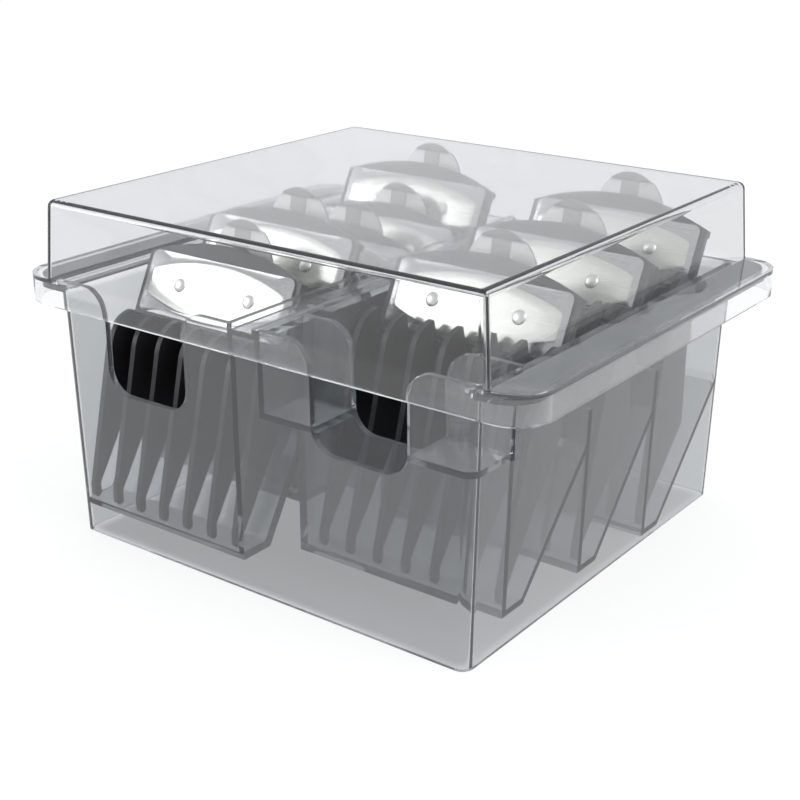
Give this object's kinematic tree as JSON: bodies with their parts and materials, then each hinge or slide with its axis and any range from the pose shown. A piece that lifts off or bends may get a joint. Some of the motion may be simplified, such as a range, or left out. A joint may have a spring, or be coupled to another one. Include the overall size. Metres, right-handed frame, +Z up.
{
  "type": "clipper guard comb set in a lidded caddy",
  "caption": "Clear smoke-tinted caddy with a lift-off lid, holding black clipper guard combs upright in slanted pockets, each with a steel clip plate and sprung thumb lever.",
  "frame": {"origin": "centre of the tray's footprint, on the table", "axes": "+Z up; -Y towards the side with the finger notches; +X towards the column of three deep pockets"},
  "size_m": [0.143, 0.1154, 0.0825],
  "materials": {
    "smoke_tray": "clear injection-moulded plastic with a light smoke tint",
    "smoke_lid": "clear injection-moulded plastic with a fainter smoke tint",
    "black_plastic": "satin black moulded plastic",
    "polished_steel": "polished stainless sheet",
    "rivet_steel": "plain stainless wire and rivets",
    "spring_steel": "oiled spring wire"
  },
  "bodies": {
    "tray": {"tray": "smoke_tray"},
    "lid": {"lid": "smoke_lid"},
    "guard_1": {"guard_1_comb": "black_plastic", "guard_1_clip_plate": "polished_steel", "guard_1_rivets": "rivet_steel", "guard_1_hinge_pin": "rivet_steel", "guard_1_spring": "spring_steel"},
    "lever_1": {"guard_1_thumb_lever": "polished_steel"},
    "guard_2": {"guard_2_comb": "black_plastic", "guard_2_clip_plate": "polished_steel", "guard_2_rivets": "rivet_steel", "guard_2_hinge_pin": "rivet_steel", "guard_2_spring": "spring_steel"},
    "lever_2": {"guard_2_thumb_lever": "polished_steel"},
    "guard_3": {"guard_3_comb": "black_plastic", "guard_3_clip_plate": "polished_steel", "guard_3_rivets": "rivet_steel", "guard_3_hinge_pin": "rivet_steel", "guard_3_spring": "spring_steel"},
    "lever_3": {"guard_3_thumb_lever": "polished_steel"},
    "guard_4": {"guard_4_comb": "black_plastic", "guard_4_clip_plate": "polished_steel", "guard_4_rivets": "rivet_steel", "guard_4_hinge_pin": "rivet_steel", "guard_4_spring": "spring_steel"},
    "lever_4": {"guard_4_thumb_lever": "polished_steel"},
    "guard_5": {"guard_5_comb": "black_plastic", "guard_5_clip_plate": "polished_steel", "guard_5_rivets": "rivet_steel", "guard_5_hinge_pin": "rivet_steel", "guard_5_spring": "spring_steel"},
    "lever_5": {"guard_5_thumb_lever": "polished_steel"},
    "guard_6": {"guard_6_comb": "black_plastic", "guard_6_clip_plate": "polished_steel", "guard_6_rivets": "rivet_steel", "guard_6_hinge_pin": "rivet_steel", "guard_6_spring": "spring_steel"},
    "lever_6": {"guard_6_thumb_lever": "polished_steel"},
    "guard_7": {"guard_7_comb": "black_plastic", "guard_7_clip_plate": "polished_steel", "guard_7_rivets": "rivet_steel", "guard_7_hinge_pin": "rivet_steel", "guard_7_spring": "spring_steel"},
    "lever_7": {"guard_7_thumb_lever": "polished_steel"},
    "guard_8": {"guard_8_comb": "black_plastic", "guard_8_clip_plate": "polished_steel", "guard_8_rivets": "rivet_steel", "guard_8_hinge_pin": "rivet_steel", "guard_8_spring": "spring_steel"},
    "lever_8": {"guard_8_thumb_lever": "polished_steel"}
  },
  "joints": [
    {"name": "lid_lift", "type": "slide", "parent": "tray", "child": "lid", "axis": [0, 0, 1], "range_m": [0, 0.15]},
    {"name": "guard_1_lift", "type": "slide", "parent": "tray", "child": "guard_1", "axis": [0, 0, 1], "range_m": [0, 0.075]},
    {"name": "lever_1_press", "type": "hinge", "parent": "guard_1", "child": "lever_1", "pos_m": [-0.0309, -0.0231, 0.0635], "axis": [1, 0, 0], "range_deg": [0, 15], "stiffness_Nm_per_rad": 0.01, "deforming": ["guard_1_spring"]},
    {"name": "guard_2_lift", "type": "slide", "parent": "tray", "child": "guard_2", "axis": [0, 0, 1], "range_m": [0, 0.075]},
    {"name": "lever_2_press", "type": "hinge", "parent": "guard_2", "child": "lever_2", "pos_m": [-0.0309, -0.0026, 0.0675], "axis": [1, 0, 0], "range_deg": [0, 15], "stiffness_Nm_per_rad": 0.01, "deforming": ["guard_2_spring"]},
    {"name": "guard_3_lift", "type": "slide", "parent": "tray", "child": "guard_3", "axis": [0, 0, 1], "range_m": [0, 0.075]},
    {"name": "lever_3_press", "type": "hinge", "parent": "guard_3", "child": "lever_3", "pos_m": [-0.0309, 0.019, 0.0602], "axis": [1, 0, 0], "range_deg": [0, 15], "stiffness_Nm_per_rad": 0.01, "deforming": ["guard_3_spring"]},
    {"name": "guard_4_lift", "type": "slide", "parent": "tray", "child": "guard_4", "axis": [0, 0, 1], "range_m": [0, 0.075]},
    {"name": "lever_4_press", "type": "hinge", "parent": "guard_4", "child": "lever_4", "pos_m": [-0.0309, 0.0386, 0.0612], "axis": [1, 0, 0], "range_deg": [0, 15], "stiffness_Nm_per_rad": 0.01, "deforming": ["guard_4_spring"]},
    {"name": "guard_5_lift", "type": "slide", "parent": "tray", "child": "guard_5", "axis": [0, 0, 1], "range_m": [0, 0.075]},
    {"name": "lever_5_press", "type": "hinge", "parent": "guard_5", "child": "lever_5", "pos_m": [-0.0309, 0.0539, 0.0694], "axis": [1, 0, 0], "range_deg": [0, 15], "stiffness_Nm_per_rad": 0.01, "deforming": ["guard_5_spring"]},
    {"name": "guard_6_lift", "type": "slide", "parent": "tray", "child": "guard_6", "axis": [0, 0, 1], "range_m": [0, 0.075]},
    {"name": "lever_6_press", "type": "hinge", "parent": "guard_6", "child": "lever_6", "pos_m": [0.0304, -0.0052, 0.067], "axis": [1, 0, 0], "range_deg": [0, 15], "stiffness_Nm_per_rad": 0.01, "deforming": ["guard_6_spring"]},
    {"name": "guard_7_lift", "type": "slide", "parent": "tray", "child": "guard_7", "axis": [0, 0, 1], "range_m": [0, 0.075]},
    {"name": "lever_7_press", "type": "hinge", "parent": "guard_7", "child": "lever_7", "pos_m": [0.0304, 0.0257, 0.0677], "axis": [1, 0, 0], "range_deg": [0, 15], "stiffness_Nm_per_rad": 0.01, "deforming": ["guard_7_spring"]},
    {"name": "guard_8_lift", "type": "slide", "parent": "tray", "child": "guard_8", "axis": [0, 0, 1], "range_m": [0, 0.075]},
    {"name": "lever_8_press", "type": "hinge", "parent": "guard_8", "child": "lever_8", "pos_m": [0.0304, 0.0539, 0.0695], "axis": [1, 0, 0], "range_deg": [0, 15], "stiffness_Nm_per_rad": 0.01, "deforming": ["guard_8_spring"]}
  ],
  "couplings": [
    {"joint": "guard_1_lift", "follows": "lid_lift", "ratio": 0.5},
    {"joint": "guard_2_lift", "follows": "lid_lift", "ratio": 0.5},
    {"joint": "guard_3_lift", "follows": "lid_lift", "ratio": 0.5},
    {"joint": "guard_4_lift", "follows": "lid_lift", "ratio": 0.5},
    {"joint": "guard_5_lift", "follows": "lid_lift", "ratio": 0.5},
    {"joint": "guard_6_lift", "follows": "lid_lift", "ratio": 0.5},
    {"joint": "guard_7_lift", "follows": "lid_lift", "ratio": 0.5},
    {"joint": "guard_8_lift", "follows": "lid_lift", "ratio": 0.5}
  ]
}
